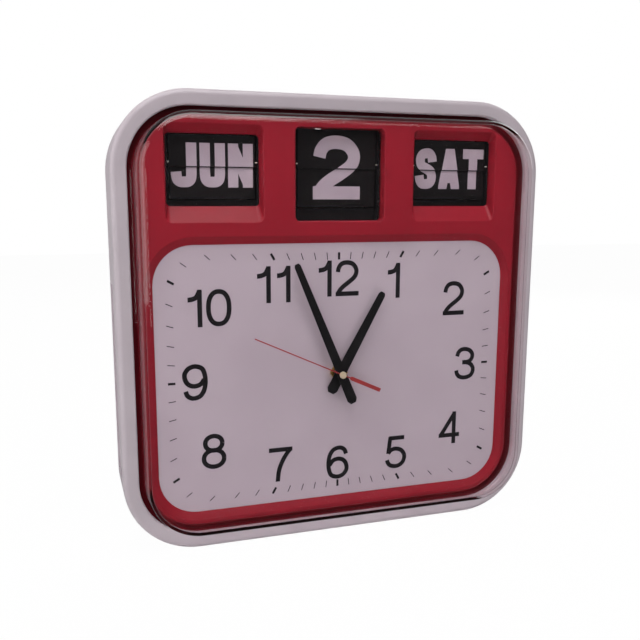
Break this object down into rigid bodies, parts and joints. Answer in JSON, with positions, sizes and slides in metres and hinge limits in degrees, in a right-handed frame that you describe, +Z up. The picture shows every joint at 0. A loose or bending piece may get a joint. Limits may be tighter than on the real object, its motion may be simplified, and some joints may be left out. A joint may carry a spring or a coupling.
{
  "type": "calendar wall clock",
  "caption": "Square wall clock with rounded frame, raised clear cover, red panel, analogue dial and three flip windows for month, date and weekday, on a rear cover with keyhole hanger.",
  "frame": {"origin": "middle of the rear face that lies on the wall", "axes": "+Z up, +X to the right as one reads the dial, the dial faces -Y and the wall is on the +Y side"},
  "size_m": [0.332, 0.0804, 0.331],
  "materials": {
    "frame_plastic": "moulded pale lilac-grey ABS, satin gloss",
    "clear_acrylic": "clear moulded acrylic",
    "red_plastic": "polished dark red ABS",
    "dial_print": "pale dial sheet printed in black",
    "black_hand": "stamped aluminium, painted black",
    "red_hand": "stamped aluminium, painted red",
    "cap_metal": "turned cap, lacquered cream",
    "leaf_plastic": "matt black leaves printed in pale grey",
    "black_plastic": "black moulded ABS",
    "white_nylon": "natural moulded acetal",
    "steel": "zinc-plated steel",
    "brass": "turned brass",
    "copper": "enamelled copper winding",
    "rubber": "soft black rubber",
    "board": "green circuit board",
    "cell_jacket": "plain printed cell jacket"
  },
  "bodies": {
    "root": {"front_frame": "frame_plastic", "clear_cover": "clear_acrylic", "window_panel": "red_plastic", "dial_plate": "dial_print", "rear_cover": "frame_plastic", "hanger_plate": "steel", "battery_box": "black_plastic", "battery_cells": "cell_jacket", "battery_contacts": "steel", "panel_screws": "steel", "case_screws": "steel", "calendar_screws": "steel", "control_board": "board", "movement_case": "black_plastic", "movement_back": "black_plastic", "gear_plate": "white_nylon", "movement_coil": "copper", "rubber_washer": "rubber", "fixing_nut": "brass", "month_chassis": "black_plastic", "month_waiting_leaves": "leaf_plastic", "month_dropped_leaves": "leaf_plastic", "month_motor": "steel", "date_chassis": "black_plastic", "date_waiting_leaves": "leaf_plastic", "date_dropped_leaves": "leaf_plastic", "date_motor": "steel", "weekday_chassis": "black_plastic", "weekday_waiting_leaves": "leaf_plastic", "weekday_dropped_leaves": "leaf_plastic", "weekday_motor": "steel"},
    "battery_door": {"battery_door": "frame_plastic"},
    "hour": {"hour_wheel": "white_nylon", "hour_hand": "black_hand"},
    "minute": {"minute_shaft": "white_nylon", "minute_hand": "black_hand"},
    "second": {"seconds_arbor": "steel", "second_hand": "red_hand", "second_hand_cap": "cap_metal"},
    "motion_wheel": {"motion_wheel": "white_nylon"},
    "setting_knob": {"setting_knob": "black_plastic"},
    "month_drum": {"month_drum": "white_nylon"},
    "month_falling_leaf": {"month_falling_leaf": "leaf_plastic"},
    "month_setting_wheel": {"month_setting_wheel": "white_nylon"},
    "month_motor_pinion": {"month_motor_pinion": "brass"},
    "date_drum": {"date_drum": "white_nylon"},
    "date_falling_leaf": {"date_falling_leaf": "leaf_plastic"},
    "date_setting_wheel": {"date_setting_wheel": "white_nylon"},
    "date_motor_pinion": {"date_motor_pinion": "brass"},
    "weekday_drum": {"weekday_drum": "white_nylon"},
    "weekday_falling_leaf": {"weekday_falling_leaf": "leaf_plastic"},
    "weekday_setting_wheel": {"weekday_setting_wheel": "white_nylon"},
    "weekday_motor_pinion": {"weekday_motor_pinion": "brass"}
  },
  "joints": [
    {"name": "minute_turn", "type": "hinge", "parent": "root", "child": "minute", "pos_m": [0, 0, -0.0398], "axis": [0, 1, 0], "continuous": true},
    {"name": "hour_turn", "type": "hinge", "parent": "root", "child": "hour", "pos_m": [0, 0, -0.0398], "axis": [0, 1, 0], "continuous": true},
    {"name": "second_turn", "type": "hinge", "parent": "root", "child": "second", "pos_m": [0, 0, -0.0398], "axis": [0, 1, 0], "continuous": true},
    {"name": "motion_wheel_turn", "type": "hinge", "parent": "root", "child": "motion_wheel", "pos_m": [0, 0, -0.0518], "axis": [0, 1, 0], "continuous": true},
    {"name": "setting_knob_turn", "type": "hinge", "parent": "root", "child": "setting_knob", "pos_m": [0.0081, 0, -0.06145], "axis": [0, 1, 0], "continuous": true},
    {"name": "battery_door_hinge", "type": "hinge", "parent": "root", "child": "battery_door", "pos_m": [0, -0.00125, -0.14425], "axis": [-1, 0, 0], "range_deg": [0, 90]},
    {"name": "month_drum_turn", "type": "hinge", "parent": "root", "child": "month_drum", "pos_m": [-0.094, -0.03255, 0.1141], "axis": [1, 0, 0], "continuous": true},
    {"name": "month_setting_wheel_turn", "type": "hinge", "parent": "root", "child": "month_setting_wheel", "pos_m": [-0.094, -0.01405, 0.1141], "axis": [1, 0, 0], "continuous": true},
    {"name": "month_motor_turn", "type": "hinge", "parent": "root", "child": "month_motor_pinion", "pos_m": [-0.094, -0.03255, 0.09838], "axis": [1, 0, 0], "continuous": true},
    {"name": "month_leaf_fall", "type": "hinge", "parent": "root", "child": "month_falling_leaf", "pos_m": [-0.094, -0.0473, 0.1141], "axis": [1, 0, 0], "range_deg": [0, 180]},
    {"name": "date_drum_turn", "type": "hinge", "parent": "root", "child": "date_drum", "pos_m": [0, -0.03255, 0.1141], "axis": [1, 0, 0], "continuous": true},
    {"name": "date_setting_wheel_turn", "type": "hinge", "parent": "root", "child": "date_setting_wheel", "pos_m": [0, -0.01405, 0.1141], "axis": [1, 0, 0], "continuous": true},
    {"name": "date_motor_turn", "type": "hinge", "parent": "root", "child": "date_motor_pinion", "pos_m": [0, -0.03255, 0.09838], "axis": [1, 0, 0], "continuous": true},
    {"name": "date_leaf_fall", "type": "hinge", "parent": "root", "child": "date_falling_leaf", "pos_m": [0, -0.0473, 0.1141], "axis": [1, 0, 0], "range_deg": [0, 180]},
    {"name": "weekday_drum_turn", "type": "hinge", "parent": "root", "child": "weekday_drum", "pos_m": [0.094, -0.03255, 0.1141], "axis": [1, 0, 0], "continuous": true},
    {"name": "weekday_setting_wheel_turn", "type": "hinge", "parent": "root", "child": "weekday_setting_wheel", "pos_m": [0.094, -0.01405, 0.1141], "axis": [1, 0, 0], "continuous": true},
    {"name": "weekday_motor_turn", "type": "hinge", "parent": "root", "child": "weekday_motor_pinion", "pos_m": [0.094, -0.03255, 0.09838], "axis": [1, 0, 0], "continuous": true},
    {"name": "weekday_leaf_fall", "type": "hinge", "parent": "root", "child": "weekday_falling_leaf", "pos_m": [0.094, -0.0473, 0.1141], "axis": [1, 0, 0], "range_deg": [0, 180]}
  ],
  "couplings": [
    {"joint": "hour_turn", "follows": "minute_turn", "ratio": 0.083333},
    {"joint": "second_turn", "follows": "minute_turn", "ratio": 60},
    {"joint": "motion_wheel_turn", "follows": "minute_turn", "ratio": -0.33333},
    {"joint": "setting_knob_turn", "follows": "minute_turn", "ratio": 0.83333},
    {"joint": "month_setting_wheel_turn", "follows": "month_drum_turn", "ratio": -1.5},
    {"joint": "month_motor_turn", "follows": "month_drum_turn", "ratio": -2.4},
    {"joint": "date_setting_wheel_turn", "follows": "date_drum_turn", "ratio": -1.5},
    {"joint": "date_motor_turn", "follows": "date_drum_turn", "ratio": -2.4},
    {"joint": "weekday_setting_wheel_turn", "follows": "weekday_drum_turn", "ratio": -1.5},
    {"joint": "weekday_motor_turn", "follows": "weekday_drum_turn", "ratio": -2.4}
  ]
}
